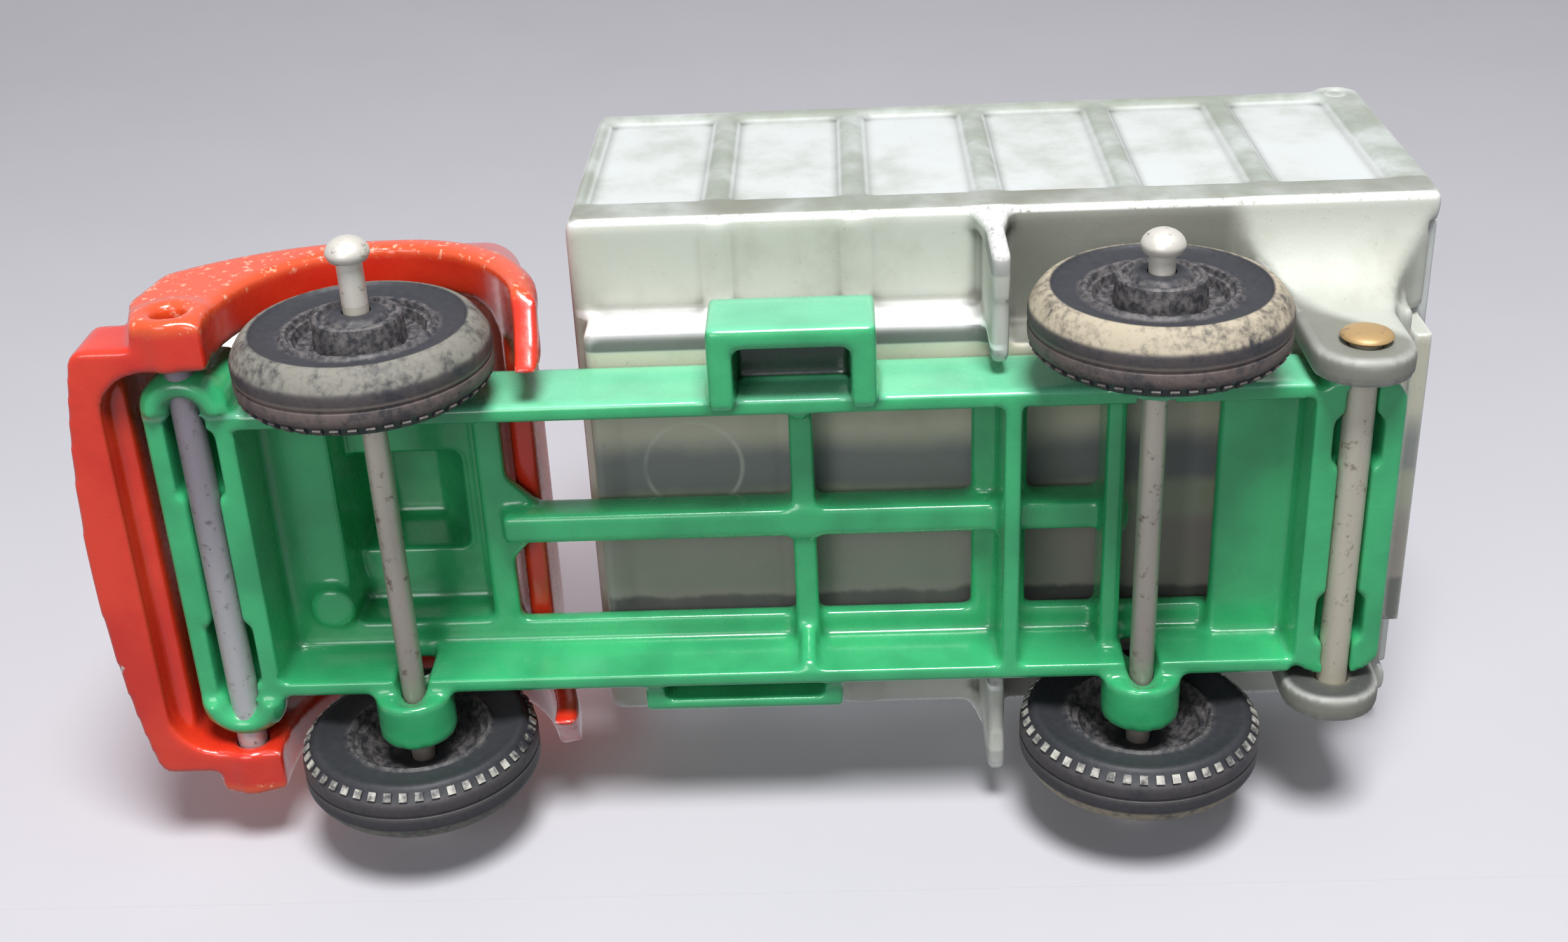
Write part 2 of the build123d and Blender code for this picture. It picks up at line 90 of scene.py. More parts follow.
# ---- Shader helpers ----
class Wire:
    """A shader socket that takes part in sums and products."""

    def __init__(self, paint, socket):
        self.paint = paint
        self.socket = socket

    def maths(self, operation, first, second):
        return self.paint.add("ShaderNodeMath", {"operation": operation}, [first, second])

    def __add__(self, other):
        return self.maths("ADD", self, other)

    def __radd__(self, other):
        return self.maths("ADD", other, self)

    def __sub__(self, other):
        return self.maths("SUBTRACT", self, other)

    def __rsub__(self, other):
        return self.maths("SUBTRACT", other, self)

    def __mul__(self, other):
        return self.maths("MULTIPLY", self, other)

    def __rmul__(self, other):
        return self.maths("MULTIPLY", other, self)

    def between(self, low, high):
        """0 below low, 1 above high, and smooth between them."""
        settings = {"interpolation_type": "SMOOTHSTEP"}
        values = {"Value": self, "From Min": low, "From Max": high}
        return self.paint.add("ShaderNodeMapRange", settings, values)


class Paint:
    """One procedural material, built node by node."""

    def __init__(self, name):
        self.material = bpy.data.materials.new(name)
        self.material.use_nodes = True
        self.tree = self.material.node_tree
        self.shader = self.tree.nodes["Principled BSDF"]
        self.coords = self.add("ShaderNodeTexCoord", out="Object")
        split = self.add("ShaderNodeSeparateXYZ", {}, [self.coords], out=None)
        self.x, self.y, self.z = (Wire(self, split.outputs[i]) for i in range(3))

    def add(self, kind, settings=None, values=None, out=0):
        """Add a node: its settings first, then the values or links of its sockets."""
        node = self.tree.nodes.new(kind)
        for name, value in (settings or {}).items():
            setattr(node, name, value)
        pairs = values.items() if isinstance(values, dict) else enumerate(values or [])
        for key, value in pairs:
            if isinstance(value, Wire):
                self.tree.links.new(value.socket, node.inputs[key])
            else:
                node.inputs[key].default_value = value
        return node if out is None else Wire(self, node.outputs[out])

    def noise(self, scale, detail=3.0, roughness=0.5, stretch=None):
        """Soft noise from 0 to 1; scale is in patches per metre."""
        where = self.coords
        if stretch:
            where = self.add("ShaderNodeMapping", {}, {"Vector": self.coords, "Scale": stretch})
        values = {"Vector": where, "Scale": scale, "Detail": detail, "Roughness": roughness}
        return self.add("ShaderNodeTexNoise", {}, values)

    def mix(self, factor, first, second):
        """Blend two colours."""
        node = self.add("ShaderNodeMix", {"data_type": "RGBA"}, {0: factor}, out=None)
        for index, value in ((6, first), (7, second)):
            if isinstance(value, Wire):
                self.tree.links.new(value.socket, node.inputs[index])
            else:
                node.inputs[index].default_value = (*value, 1.0)
        return Wire(self, node.outputs[2])

    def within(self, low, high):
        """1 inside a box whose corners are in millimetres, and soft at its sides."""
        inside = 1.0
        for axis, start, end in zip((self.x, self.y, self.z), low, high):
            inside = axis.between((start - 0.1) * MM, start * MM) * inside
            inside = (1 - axis.between(end * MM, (end + 0.1) * MM)) * inside
        return inside

    def across(self):
        """Distance from the truck's middle plane, the same on both sides."""
        return self.add("ShaderNodeMath", {"operation": "ABSOLUTE"}, [self.x])

    def edge(self):
        """How sharply the surface turns: over 0.5 on edges, under it in corners."""
        return self.add("ShaderNodeNewGeometry", out="Pointiness")

    def set(self, **values):
        """Plain numbers or links for the shader's own sockets, with _ for a space."""
        for name, value in values.items():
            socket = self.shader.inputs[name.replace("_", " ")]
            if isinstance(value, Wire):
                self.tree.links.new(value.socket, socket)
            else:
                socket.default_value = value

    def bump(self, height, strength, depth):
        values = {"Height": height, "Strength": strength, "Distance": depth}
        self.set(Normal=self.add("ShaderNodeBump", {}, values))


# ---- Materials ----
def enamel(name, colour, shade, bare, low_edges=None, painted_highlight_colour=None, painted_mint_highlight=None, painted_shadow_boxes=()):
    """Thick gloss enamel on a casting: slight orange peel, corners darkened by dirt and painted shade, small
    chips on sharp edges.

    Below the height low_edges the paint is rubbed off more, as on the parts that drag on the floor.
    The flared sides, which stand out furthest, get a painted highlight in the given colour, lighter and
    speckled with painted glints.
    The outer faces of the left rail and its step box, which face the side lamp, get a pale painted highlight
    in the given colour.
    Each given box, a low and a high corner in millimetres, is a hollow painted near black as shadow.
    """
    p = Paint(name)
    cloud = p.noise(260, 4)
    fine = p.noise(2400, 5, 0.6)
    flakes = p.noise(700, 3, 0.6)
    edge = p.edge()
    sharp = edge.between(0.55, 0.6)
    worn = sharp * flakes.between(0.66, 0.7)
    if low_edges:
        low = 1 - p.z.between(low_edges, low_edges + 0.6 * MM)
        worn = worn + low * sharp * flakes.between(0.42, 0.5) * (1 - worn)
    # Corners darkened: partly dirt, partly painted shade
    corner_grime_and_shade = 1 - edge.between(0.42, 0.495)
    base = p.mix(cloud.between(0.3, 0.75), colour, shade)
    base = p.mix(corner_grime_and_shade * (0.35 + 0.4 * fine), base, tuple(c * 0.28 + 0.012 for c in shade))
    if painted_highlight_colour:
        # Painted highlight on the flared sides, with speckles of painted glints
        across = p.across()
        out = across.between(12.5 * MM, 13.0 * MM)
        base = p.mix(out * 0.7, base, painted_highlight_colour)
        base = p.mix(out * fine.between(0.58, 0.66) * 0.6, base, (0.9, 0.6, 0.42))
    if painted_mint_highlight:
        # Painted highlight on the lamp-facing outer faces of the left rail and step box
        rail = p.x.between(7.86 * MM, 7.96 * MM) * (1 - p.x.between(8.1 * MM, 8.3 * MM))
        step = p.x.between(12.0 * MM, 12.15 * MM)
        base = p.mix((rail + step) * (0.55 - 0.3 * cloud), base, painted_mint_highlight)
    for low, high in painted_shadow_boxes:
        # Painted shadow: inside each box the colour goes near black
        inside = p.within(low, high)
        base = p.mix(inside * 0.93, base, (0.008, 0.012, 0.010))
    base = p.mix(worn, base, bare)
    p.set(Base_Color=base, Roughness=0.2 + 0.16 * fine + 0.25 * worn, Coat_Weight=0.6, Coat_Roughness=0.12)
    p.bump(cloud * 0.7 + fine * 0.3, 0.35, 0.00012)
    return p.material


def silver_paint(name, grime_weight):
    """Satin aluminium paint: bright in the side panels, duller on everything that stands proud of them.

    Its bands follow the hopper: ribs and strips of the sides, rubbed lower edge, grey underside and a round
    mould mark. Over them lie painted shadows under the hopper, painted highlights on the keel's sides and
    edges, painted light and shade in bands on the floor, and corners darkened by dirt and painted shade.
    """
    p = Paint(name)
    cloud = p.noise(170, 5, 0.6)
    patch = p.noise(90, 4, 0.55)
    speck = p.noise(3800, 3, 0.7)
    edge = p.edge()
    across = p.across()
    # Where the bands lie: the sides first, then the underside from the keel inwards
    proud = across.between(14.3 * MM, 14.45 * MM)
    strip = proud * (1 - p.z.between(15.5 * MM, 15.75 * MM))
    rubbed = across.between(14.15 * MM, 14.3 * MM) * (1 - p.z.between(13.42 * MM, 13.56 * MM))
    below = 1 - p.z.between(13.2 * MM, 13.45 * MM)
    keel = 1 - p.z.between(10.5 * MM, 10.7 * MM)
    inner = keel * (1 - across.between(8.5 * MM, 8.7 * MM))
    spot = p.add("ShaderNodeMapping", {}, {"Vector": p.coords, "Location": (-2.1 * MM, 3.8 * MM, 0)})
    flat = p.add("ShaderNodeVectorMath", {"operation": "MULTIPLY"}, [spot, (1, 1, 0)])
    reach = p.add("ShaderNodeVectorMath", {"operation": "LENGTH"}, [flat], out="Value")
    mark = keel * reach.between(2.3 * MM, 2.45 * MM) * (1 - reach.between(2.5 * MM, 2.66 * MM))
    mark = mark * cloud.between(0.3, 0.6)
    base = p.mix(cloud.between(0.35, 0.7) * 0.35, (0.63, 0.66, 0.65), (0.49, 0.51, 0.46))
    base = p.mix(proud * cloud.between(0.2, 0.6), base, (0.34, 0.37, 0.32))
    base = p.mix(strip * patch.between(0.2, 0.6), base, (0.22, 0.22, 0.18))
    base = p.mix(below * 0.7, base, (0.50, 0.51, 0.43))
    # Painted shadow, slanting, over the underside behind each rear wheel, with some dirt in it; and a
    # near-white painted highlight on the outer face of the keel in front of it
    slant = p.y + p.z
    wheel_shadow = below * p.y.between(11.9 * MM, 12.6 * MM) * (1 - slant.between(35.9 * MM, 37.4 * MM))
    base = p.mix(wheel_shadow * (0.6 + 0.4 * cloud), base, (0.15, 0.15, 0.125))
    # Painted highlight: the keel's outer faces near white, on both sides
    keel_side_highlight = across.between(9.3 * MM, 9.45 * MM) * (1 - across.between(9.7 * MM, 9.9 * MM))
    base = p.mix(keel_side_highlight * below * (1 - p.y.between(11 * MM, 12 * MM)), base, (0.92, 0.93, 0.92))
    # Painted light and shade on the floor between the rails, in lengthwise bands: lit cream at the left, then
    # a dark band of painted shadow and reflection, olive, a brownish painted reflection and near-black
    # painted shadow at the right
    wander = p.x + (cloud - 0.5) * 1.6 * MM
    floor = p.mix(wander.between(2.4 * MM, 4.2 * MM), (0.17, 0.175, 0.19), (0.62, 0.58, 0.46))
    floor = p.mix(wander.between(0.2 * MM, 1.1 * MM), (0.34, 0.35, 0.26), floor)
    floor = p.mix(wander.between(-2.2 * MM, -1.0 * MM), (0.30, 0.24, 0.23), floor)
    floor = p.mix(wander.between(-5.7 * MM, -5.3 * MM), (0.035, 0.035, 0.04), floor)
    base = p.mix(inner * 0.85, base, floor)
    base = p.mix(cloud.between(0.45, 0.72) * grime_weight, base, (0.26, 0.27, 0.21))
    # Corners darkened: partly dirt, partly painted shade
    corner_grime_and_shade = 1 - edge.between(0.455, 0.499)
    base = p.mix(corner_grime_and_shade * 0.75, base, (0.08, 0.075, 0.06))
    base = p.mix(mark * 0.55, base, (0.75, 0.75, 0.68))
    base = p.mix(speck.between(0.62, 0.75) * 0.4, base, (0.22, 0.22, 0.2))
    # Painted shadow in the space between the keel's side and the rail, ahead of the rear wheels
    gap_shadow = keel * across.between(8.6 * MM, 8.75 * MM) * (1 - across.between(9.45 * MM, 9.6 * MM))
    base = p.mix(gap_shadow * (1 - p.y.between(11 * MM, 12 * MM)) * 0.8, base, (0.06, 0.06, 0.065))
    # Painted shadow of the wheel on the lower bar of each gusset
    bar_shadow = across.between(13.3 * MM, 13.5 * MM) * (1 - p.z.between(10.6 * MM, 11.3 * MM))
    base = p.mix(bar_shadow * 0.6, base, (0.2, 0.21, 0.22))
    base = p.mix(rubbed * speck.between(0.3, 0.5) * 0.85, base, (0.85, 0.86, 0.84))
    # Painted highlight: convex edges lighter
    base = p.mix(edge.between(0.52, 0.56) * 0.4, base, (0.8, 0.8, 0.78))
    p.set(Base_Color=base, Metallic=0.1, Roughness=0.44 + 0.25 * cloud, Specular_IOR_Level=0.35)
    p.bump(cloud * 0.4 + speck * 0.4 + mark * 0.6, 0.4, 0.00006)
    return p.material


def black_plastic(name, y, inner_x, dust_colour, shoulder_dust, tread_dust, tip_wear_and_highlight):
    """Moulded plastic of one wheel, with beige dust rubbed into its outer shoulder and its tread."""
    p = Paint(name)
    cloud = p.noise(420, 4, 0.65)
    fine = p.noise(2600, 4, 0.6)
    across = p.across() - inner_x
    mapped = p.add("ShaderNodeMapping", {}, {"Vector": p.coords, "Location": (0, -y, -AXLE_Z)})
    flat = p.add("ShaderNodeVectorMath", {"operation": "MULTIPLY"}, [mapped, (0, 1, 1)])
    reach = p.add("ShaderNodeVectorMath", {"operation": "LENGTH"}, [flat], out="Value")
    shoulder = across.between(2.2 * MM, 2.45 * MM) * reach.between(5.02 * MM, 5.2 * MM)
    dust = shoulder * (cloud * 0.5 + fine * 0.5).between(0.3, 0.58) * shoulder_dust
    tread = reach.between(5.9 * MM, 6.0 * MM) * (1 - shoulder)
    rolled = (1 - across.between(1.45 * MM, 1.65 * MM)) * 0.65 + 0.35
    mud = tread * rolled * (cloud * 0.7 + fine * 0.3).between(0.33, 0.55) * tread_dust
    lip = tread * across.between(1.52 * MM, 1.6 * MM) * (1 - across.between(1.64 * MM, 1.8 * MM))
    teeth = (reach - across).between(5.38 * MM, 5.46 * MM) * (cloud * 0.6 + fine * 0.4).between(0.38, 0.62)
    hub = reach.between(1.0 * MM, 1.6 * MM) * (1 - reach.between(3.6 * MM, 4.0 * MM))
    # Partly dust, partly a painted sheen on the hub
    hub_dust_and_sheen = hub * fine.between(0.35, 0.7)
    base = p.mix(fine, (0.016, 0.017, 0.022), (0.045, 0.046, 0.054))
    base = p.mix(mud, base, (0.15, 0.115, 0.105))
    base = p.mix(hub_dust_and_sheen * 0.5, base, (0.27, 0.24, 0.23))
    base = p.mix(lip * 0.4 * tread_dust, base, (0.36, 0.30, 0.25))
    # Pale tooth tips: partly worn plastic, partly painted highlight, strongest on the teeth that face the
    # side lamp
    base = p.mix(teeth * tip_wear_and_highlight, base, (0.62, 0.60, 0.54))
    base = p.mix(dust, base, dust_colour)
    p.set(Base_Color=base, Roughness=0.42 + 0.3 * cloud + 0.2 * dust)
    p.bump(cloud * 0.4 + fine * 0.6, 0.5, 0.00008)
    return p.material


def tarnished(name, colour, right_end_light_and_shade, dark, shine, head_colour=None, head_x=None):
    """Plain drawn metal gone dull, with darker spots and, towards the truck's right side, another tone that
    is painted light and shade.

    The heads of a pin may have a tint of their own, from the distance head_x outwards.
    """
    p = Paint(name)
    streak = p.noise(900, 4, 0.6, stretch=(0.15, 1, 1))
    spots = p.noise(1500, 5, 0.7)
    # Painted light and shade: the tone shifts along the rod towards the truck's right side
    base = p.mix(p.x.between(-9 * MM, 7 * MM), right_end_light_and_shade, colour)
    base = p.mix(streak * 0.35, base, dark)
    if head_colour:
        across = p.across()
        base = p.mix(across.between(head_x, head_x + 0.1 * MM), base, head_colour)
    base = p.mix(spots.between(0.56, 0.7) * 0.8, base, dark)
    p.set(Base_Color=base, Metallic=0.4, Roughness=shine + 0.3 * spots)
    p.bump(spots, 0.3, 0.00004)
    return p.material


def clear_plastic(name):
    """Thin clear moulding, very slightly rippled."""
    p = Paint(name)
    ripple = p.noise(120, 2)
    p.set(Base_Color=p.mix(ripple, (0.78, 0.86, 0.86), (0.9, 0.94, 0.94)))
    p.set(Roughness=0.04 + 0.05 * ripple, Transmission_Weight=0.9, IOR=1.49, Alpha=0.55 + 0.1 * ripple)
    p.bump(ripple, 0.2, 0.0002)
    return p.material


# The step box's hollow, painted near black as shadow
STEP_BOX_SHADOWED = ((8.3, -1.1, 4.9), (11.0, 4.2, 8.2))
CAB_LOW_EDGES = 6.2 * MM
AXLE_HEAD_X = 13.4 * MM
RIVET_HEAD_X = 9.9 * MM

green = enamel(
    "green_enamel", (0.045, 0.47, 0.18), shade=(0.03, 0.34, 0.13), bare=(0.42, 0.45, 0.42),
    painted_mint_highlight=(0.34, 0.86, 0.62), painted_shadow_boxes=[STEP_BOX_SHADOWED],
)
red = enamel(
    "red_enamel", (0.76, 0.045, 0.015), shade=(0.62, 0.02, 0.008), bare=(0.60, 0.50, 0.46),
    low_edges=CAB_LOW_EDGES, painted_highlight_colour=(0.80, 0.11, 0.025),
)
silver = silver_paint("silver_paint", 0.35)
steel = tarnished(
    "tarnished_steel", (0.72, 0.68, 0.58), right_end_light_and_shade=(0.40, 0.36, 0.33), dark=(0.17, 0.11, 0.08), shine=0.28,
    head_colour=(0.74, 0.71, 0.64), head_x=AXLE_HEAD_X,
)
blued = tarnished(
    "bluish_steel", (0.30, 0.27, 0.31), right_end_light_and_shade=(0.60, 0.62, 0.62), dark=(0.12, 0.10, 0.12), shine=0.3,
)
riveted = tarnished(
    "riveted_pin", (0.68, 0.65, 0.55), right_end_light_and_shade=(0.62, 0.58, 0.47), dark=(0.22, 0.17, 0.12), shine=0.34,
    head_colour=(0.50, 0.33, 0.15), head_x=RIVET_HEAD_X,
)
window = clear_plastic("clear_moulding")


# ---- Castings: the part's own solids with the soft edges of thick paint on a casting ----
CASTING_MERGE = 0.002 * MM


def casting(node, body, material, voxel, rounds, extras=()):
    """A copy of a solid, rebuilt as an even skin and eased, so that its edges are as round as cast ones.

    The skin's cells are voxel millimetres wide and are eased in so many rounds. Extras are joined on first.
    """
    bpy.ops.object.select_all(action="DESELECT")
    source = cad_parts[node]
    obj = bpy.data.objects.new(node + "_casting", source.data.copy())
    bpy.context.scene.collection.objects.link(obj)
    edit(obj)
    bpy.ops.mesh.select_all(action="SELECT")
    bpy.ops.mesh.remove_doubles(threshold=CASTING_MERGE)
    done()
    if extras:
        bpy.ops.object.select_all(action="DESELECT")
        for extra in extras:
            extra.select_set(True)
        obj.select_set(True)
        bpy.context.view_layer.objects.active = obj
        bpy.ops.object.join()
    apply_modifier(obj, "REMESH", mode="VOXEL", voxel_size=voxel * MM)
    apply_modifier(obj, "SMOOTH", factor=0.5, iterations=rounds)
    smooth_by_angle(obj, 60)
    place(obj, body, node, material)


TROUGH_END_X = 8.15 * MM
TROUGH_END_Z = 6.3 * MM
TROUGH_CUT_X = 8.1 * MM


def trough_end(way):
    """The rounded wall that closes one end of the front pin's trough: half of a tall ring."""
    low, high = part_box("cab_hinge_pin")
    middle_y = (low.y + high.y) / 2
    bpy.ops.object.select_all(action="DESELECT")
    bpy.ops.mesh.primitive_torus_add(major_radius=1.5 * MM, minor_radius=0.75 * MM)
    obj = bpy.context.active_object
    obj.scale = (1.0, 1.0, 1.6)
    obj.location = (way * TROUGH_END_X, middle_y, TROUGH_END_Z)
    bpy.ops.object.transform_apply(location=True, rotation=True, scale=True)
    edit(obj)
    bpy.ops.mesh.select_all(action="SELECT")
    cut_at = (way * TROUGH_CUT_X, 0, 0)
    bpy.ops.mesh.bisect(plane_co=cut_at, plane_no=(way, 0, 0), use_fill=True, clear_inner=True)
    bpy.ops.mesh.select_all(action="SELECT")
    bpy.ops.mesh.normals_make_consistent(inside=False)
    done()
    return obj


casting("chassis", "base", green, 0.208, 5, [trough_end(1), trough_end(-1)])
casting("cab_shell", "cab", red, 0.195, 10)
casting("hopper", "hopper_body", silver, 0.279, 4)
casting("tailgate", "gate", silver, 0.2, 4)


# ---- Turned pieces ----
def turned(name, rings, segments, hollow=False):
    """A round piece on the X axis, built ring by ring from (x, radius) pairs in millimetres.

    A hollow piece ends on the ring it started from; a solid one is closed by a flat face at each end.
    """
    rings = [(x * MM, radius * MM) for x, radius in rings]
    last_x, last_r = rings[0]
    bpy.ops.object.select_all(action="DESELECT")
    bpy.ops.mesh.primitive_circle_add(vertices=segments, radius=last_r, rotation=(0, pi / 2, 0))
    obj = bpy.context.active_object
    obj.name = name
    bpy.ops.object.transform_apply(location=True, rotation=True, scale=True)
    edit(obj)
    bpy.ops.mesh.select_all(action="SELECT")
    bpy.ops.transform.translate(value=(last_x, 0, 0))
    if not hollow:
        bpy.ops.mesh.edge_face_add()
    for x, radius in rings[1:]:
        bpy.ops.mesh.extrude_region_move(TRANSFORM_OT_translate={"value": (x - last_x, 0, 0)})
        bpy.ops.transform.resize(value=(1, radius / last_r, radius / last_r))
        last_x, last_r = x, radius
    bpy.ops.mesh.select_all(action="SELECT")
    bpy.ops.mesh.remove_doubles(threshold=0.0005 * MM)
    bpy.ops.mesh.normals_make_consistent(inside=False)
    done()
    return obj


def raise_teeth(obj, count, low, high, rise):
    """Raise a row of teeth from the band of faces between two (x, radius) corners."""
    edit(obj)
    bpy.ops.mesh.select_mode(type="FACE")
    bpy.ops.mesh.select_all(action="DESELECT")
    done()
    for face in obj.data.polygons:
        c = face.center
        in_band = low[0] < c.x < high[0] and low[1] < hypot(c.y, c.z) < high[1]
        face.select = in_band and (atan2(c.z, c.y) / (2 * pi) * count) % 1 < 0.5
    bpy.ops.object.mode_set(mode="EDIT")
    bpy.ops.mesh.extrude_region_shrink_fatten(TRANSFORM_OT_shrink_fatten={"value": rise})
    bpy.ops.mesh.select_mode(type="VERT")
    done()


def settle(obj, where, turn=0.0):
    """Turn a finished piece about Z, move it to its place and write both into its mesh."""
    alone(obj)
    obj.rotation_euler = (0, 0, turn)
    obj.location = where
    bpy.ops.object.transform_apply(location=True, rotation=True, scale=True)


# A wheel's rings in millimetres, from its bore over the hollow back, the tread and the outer face
TOOTH_COUNT = 46
WHEEL_BACK = [
    (1.9, 0.69), (1.88, 2.2), (1.75, 2.4), (1.1, 3.0), (0.95, 3.06), (0.8, 3.1), (0.74, 3.22), (0.68, 3.4),
    (0.5, 3.48), (0.28, 3.54), (0.2, 3.64), (0.22, 3.76), (0.3, 3.84), (0.3, 4.3), (0.14, 4.9), (0.04, 5.15),
    (0.02, 5.3), (0.07, 5.45), (0.2, 5.56), (0.3, 5.62), (0.62, 5.92), (0.72, 6.02),
]
TREAD = [
    (0.84, 6.08), (1.0, 6.1), (1.3, 6.1), (1.38, 6.08), (1.42, 6.0), (1.54, 6.0), (1.58, 6.08), (1.66, 6.1),
    (2.1, 6.1), (2.24, 6.08), (2.36, 6.02), (2.6, 5.9), (2.84, 5.74), (3.06, 5.55), (3.2, 5.38), (3.28, 5.2),
]
WHEEL_FACE = [
    (3.28, 5.06), (3.2, 4.98), (3.14, 4.9), (3.0, 4.3), (2.94, 3.8), (3.0, 3.7), (3.1, 3.62), (3.12, 3.5),
    (3.08, 3.4), (2.85, 3.3), (2.8, 3.15), (2.55, 3.08), (2.36, 3.0), (2.3, 2.85), (2.3, 2.3), (2.36, 2.2),
    (3.5, 2.12), (3.68, 2.08), (3.76, 1.98), (3.76, 1.82), (3.62, 1.74), (3.6, 1.5), (3.72, 1.42),
    (3.84, 1.3), (3.88, 1.1), (3.88, 0.69), (1.9, 0.69),
]


def make_wheels():
    model = turned("wheel_model", WHEEL_BACK + TREAD + WHEEL_FACE, 4 * TOOTH_COUNT, hollow=True)
    raise_teeth(model, TOOTH_COUNT, (0.4 * MM, 5.7 * MM), (0.5 * MM, 5.85 * MM), 0.15 * MM)
    smooth_by_angle(model, 38)
    dusts = (("front", (0.27, 0.26, 0.22), 0.85, 0.9), ("rear", (0.46, 0.40, 0.30), 1.0, 0.8))
    for end, dust_colour, shoulder_dust, left_mud in dusts:
        # The right wheels' tooth tips face the side lamp and get more painted highlight
        for side, way, mud, tip_wear_and_highlight in (("left", 1, left_mud, 0.12), ("right", -1, 0.2, 0.9)):
            node = f"{end}_wheel_{side}"
            low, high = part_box(node)
            inner_x = min(abs(low.x), abs(high.x))
            y = (low.y + high.y) / 2
            wheel = bpy.data.objects.new(node + "_moulding", model.data.copy())
            bpy.context.scene.collection.objects.link(wheel)
            settle(wheel, (way * inner_x, y, AXLE_Z), 0 if way > 0 else pi)
            dust_wear_and_highlight = (dust_colour, shoulder_dust, mud, tip_wear_and_highlight)
            plastic = black_plastic(f"black_plastic_{end}_{side}", y, inner_x, *dust_wear_and_highlight)
            place(wheel, node + "_body", node, plastic)
    bpy.data.objects.remove(model)


def pin_rings(length, radius, head_r, head_h, neck):
    """Rings of a rod whose ends swell into rounded heads; neck is the radius of a head's flat underside."""
    half = length / 2
    shank = half - head_h
    quarter = [(head_h * (0.25 + 0.75 * sin(k * pi / 14)), head_r * cos(k * pi / 14)) for k in range(7)]
    end = [(shank + x, r) for x, r in [(0, neck)] + quarter] + [(half, head_r * 0.1)]
    rings = [(0.0, radius), (shank, radius)] + end
    return [(-x, r) for x, r in reversed(rings[1:])] + rings


def make_axles():
    for end in ("front", "rear"):
        low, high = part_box(f"{end}_axle")
        length = (high.x - low.x) / MM
        head_r = (high.z - low.z) / 2 / MM
        rod = turned(f"{end}_axle_rod", pin_rings(length, 0.62, head_r, 1.1, head_r * 0.86), 32)
        smooth_by_angle(rod, 50)
        settle(rod, (low + high) / 2)
        place(rod, f"{end}_axle_set", f"{end}_axle", steel)


def make_pins():
    low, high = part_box("cab_hinge_pin")
    half = (high.x - low.x) / 2 / MM
    pin_r = (high.z - low.z) / 2 / MM
    half_rings = [(0.0, pin_r), (half - 0.14, pin_r), (half - 0.06, pin_r * 0.9), (half, pin_r * 0.6)]
    pin = turned("cab_pin_rod", [(-x, r) for x, r in reversed(half_rings[1:])] + half_rings, 32)
    smooth_by_angle(pin, 40)
    settle(pin, (low + high) / 2)
    place(pin, "base", "cab_hinge_pin", blued)
    low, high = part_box("hopper_hinge_pin")
    length = (high.x - low.x) / MM
    head_r = (high.z - low.z) / 2 / MM
    rivet = turned("hopper_pin_rivet", pin_rings(length, pin_r, head_r, 0.5, head_r * 0.9), 32)
    smooth_by_angle(rivet, 50)
    settle(rivet, (low + high) / 2)
    place(rivet, "hopper_body", "hopper_hinge_pin", riveted)


make_wheels()
make_axles()
make_pins()
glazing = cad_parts["cab_glazing"]
glazing.data.materials.clear()
glazing.data.materials.append(window)


# ---- Stage: the truck lies on its right side for the main camera and stands on its wheels in the others ----
def stage_material(name, colour, seen_from_front_only):
    """Pale ground that takes shadows.

    Seen from the front only, it fades into the pale room far away. The other kind shows above the standing
    floor's height only through that floor, and below it only directly.
    """
    p = Paint(name)
    grain = p.noise(60, 4)
    p.set(Base_Color=p.mix(grain, colour, tuple(c * 0.94 for c in colour)), Roughness=0.85)
    tree = p.tree
    output = tree.nodes["Material Output"]
    clear = tree.nodes.new("ShaderNodeBsdfTransparent")
    choose = tree.nodes.new("ShaderNodeMixShader")
    tree.links.new(p.shader.outputs[0], choose.inputs[1])
    tree.links.new(clear.outputs[0], choose.inputs[2])
    tree.links.new(choose.outputs[0], output.inputs[0])
    if seen_from_front_only:
        back = Wire(p, tree.nodes.new("ShaderNodeNewGeometry").outputs["Backfacing"])
        far = (p.x * p.x + p.y * p.y).between(0.015, 0.16)
        hidden = back * (1 - far) + far
    else:
        path = tree.nodes.new("ShaderNodeLightPath")
        above = p.z.between(-0.01 * MM, 0.01 * MM)
        through = Wire(p, path.outputs["Transparent Depth"]).between(0.4, 0.6)
        hidden = above * (1 - through) + (1 - above) * through
    tree.links.new(hidden.socket, choose.inputs[0])
    return p.material


def ground(name, location, rotation, material):
    """A large plane that only the camera sees; it doesn't light or shade the truck."""
    bpy.ops.object.select_all(action="DESELECT")
    bpy.ops.mesh.primitive_plane_add(size=5.0, location=location, rotation=rotation)
    plane = bpy.context.active_object
    plane.name = name
    bpy.ops.object.transform_apply(location=True, rotation=True, scale=True)
    plane.data.materials.append(material)
    plane.visible_shadow = False
    plane.visible_diffuse = False
    plane.visible_transmission = False
    plane.visible_glossy = False


PALE = (0.58, 0.57, 0.61)
LYING_GAP = 0.1 * MM
side_x = axle_low.x - LYING_GAP
ground("standing_floor", (0, 0, 0), (0, 0, 0), stage_material("standing_ground", PALE, True))
ground("lying_floor", (side_x, 0, 0), (0, pi / 2, 0), stage_material("lying_ground", PALE, False))


def soft_light(name, place_at, aim, size, watts, glints=True):
    """A round lamp aimed at a point; without glints it isn't mirrored in gloss paint."""
    data = bpy.data.lights.new(name, "AREA")
    data.shape = "DISK"
    data.size = size
    data.energy = watts
    lamp = bpy.data.objects.new(name, data)
    lamp.location = place_at
    lamp.rotation_euler = (Vector(aim) - Vector(place_at)).to_track_quat("-Z", "Y").to_euler()
    lamp.visible_glossy = glints
    bpy.context.scene.collection.objects.link(lamp)


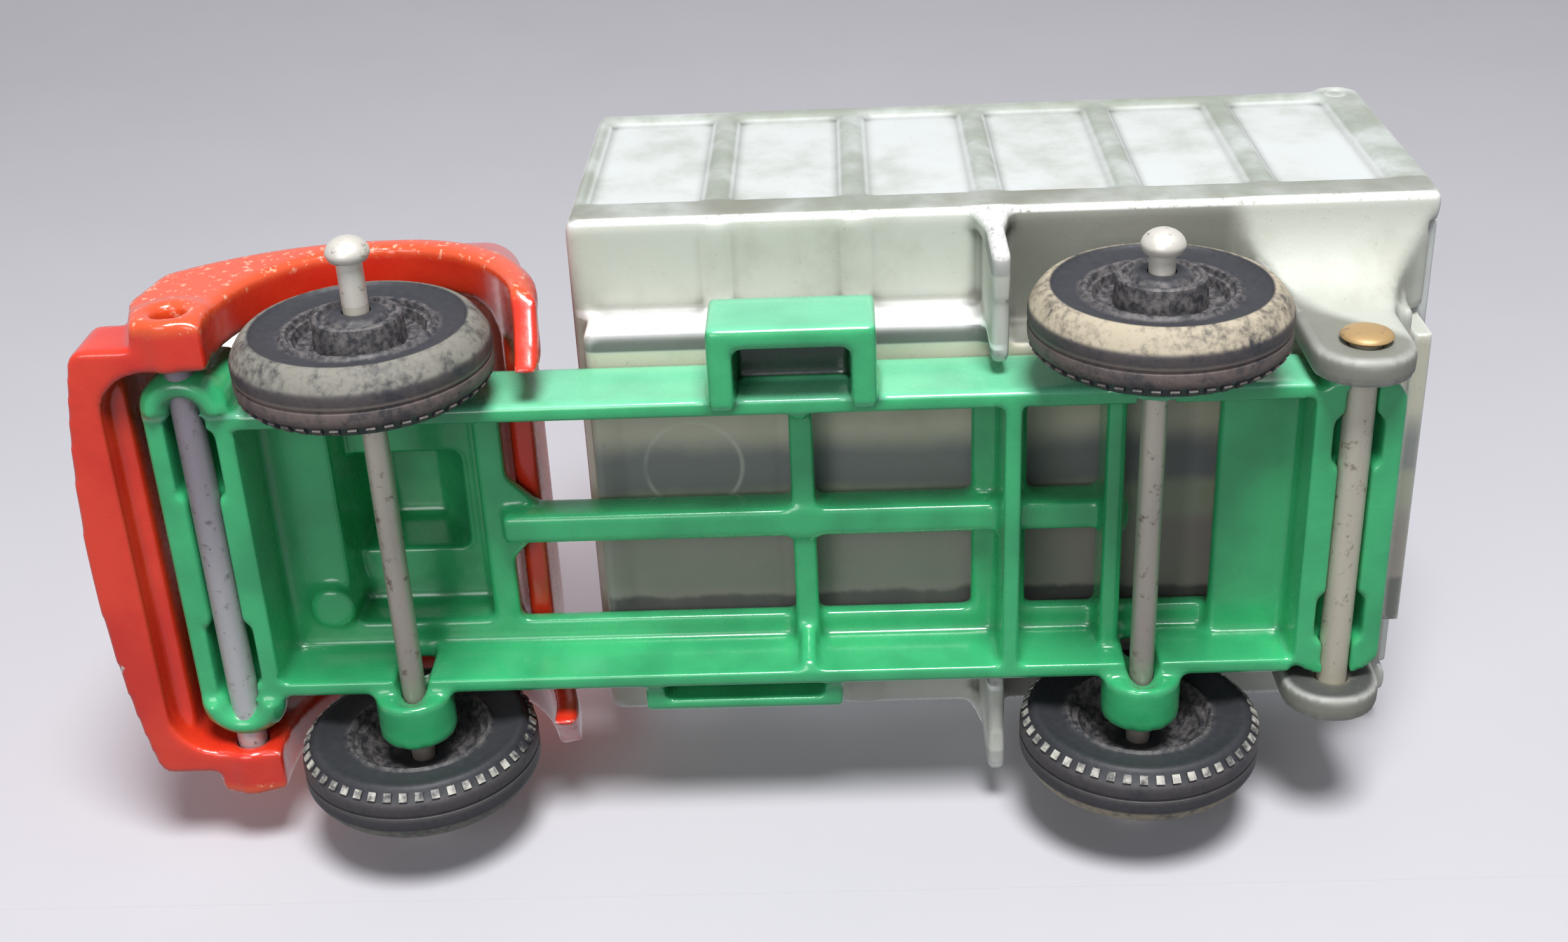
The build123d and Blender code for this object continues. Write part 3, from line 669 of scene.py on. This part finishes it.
soft_light("side_key", (0.27, 0.02, -0.09), (0, 0, 0.012), 0.11, 1.1)
soft_light("under_fill", (0.12, -0.10, -0.26), (0, 0, 0.01), 0.16, 0.26)
soft_light("top_key", (-0.10, -0.16, 0.30), (0, 0, 0.01), 0.34, 0.6, glints=False)
soft_light("roof_fill", (-0.10, 0.02, 0.42), (0, 0, 0.01), 0.60, 1.6, glints=False)

ROOM_LIGHT = 0.19
ROOM_SEEN = 0.52


def pale_room():
    """Faint even light on the truck; the camera, metal and glass see the room brighter than it shines."""
    world = bpy.data.worlds.new("pale_room")
    world.use_nodes = True
    tree = world.node_tree
    shine = tree.nodes["Background"]
    shine.inputs["Color"].default_value = (0.9, 0.92, 1.0, 1)
    path = tree.nodes.new("ShaderNodeLightPath")
    seen = path.outputs["Is Camera Ray"]
    for kind in ("Is Glossy Ray", "Is Transmission Ray"):
        either = tree.nodes.new("ShaderNodeMath")
        either.operation = "MAXIMUM"
        tree.links.new(seen, either.inputs[0])
        tree.links.new(path.outputs[kind], either.inputs[1])
        seen = either.outputs[0]
    level = tree.nodes.new("ShaderNodeMapRange")
    level.inputs["To Min"].default_value = ROOM_LIGHT
    level.inputs["To Max"].default_value = ROOM_SEEN
    tree.links.new(seen, level.inputs["Value"])
    tree.links.new(level.outputs["Result"], shine.inputs["Strength"])
    return world


bpy.context.scene.world = pale_room()
bpy.context.scene.view_settings.view_transform = "Standard"


# ---- Camera: below and to the left of the truck, close to it ----
CAMERA_AT = Vector((47.37, 3.99, -77.43)) * MM
LOOK = Vector((-0.46026, -0.03246, 0.88670))
IMAGE_RIGHT = Vector((-0.04046, 0.99906, 0.01551))
LENS = 44.68

camera_data = bpy.data.cameras.new("camera")
camera_data.lens = LENS
camera_data.sensor_width = 36
camera_data.clip_start = 0.002
camera = bpy.data.objects.new("camera", camera_data)
bpy.context.scene.collection.objects.link(camera)
back = -LOOK.normalized()
right = (IMAGE_RIGHT - back * IMAGE_RIGHT.dot(back)).normalized()
up = back.cross(right)
turn = Matrix((right, up, back)).transposed()
camera.matrix_world = Matrix.Translation(CAMERA_AT) @ turn.to_4x4()
bpy.context.scene.camera = camera
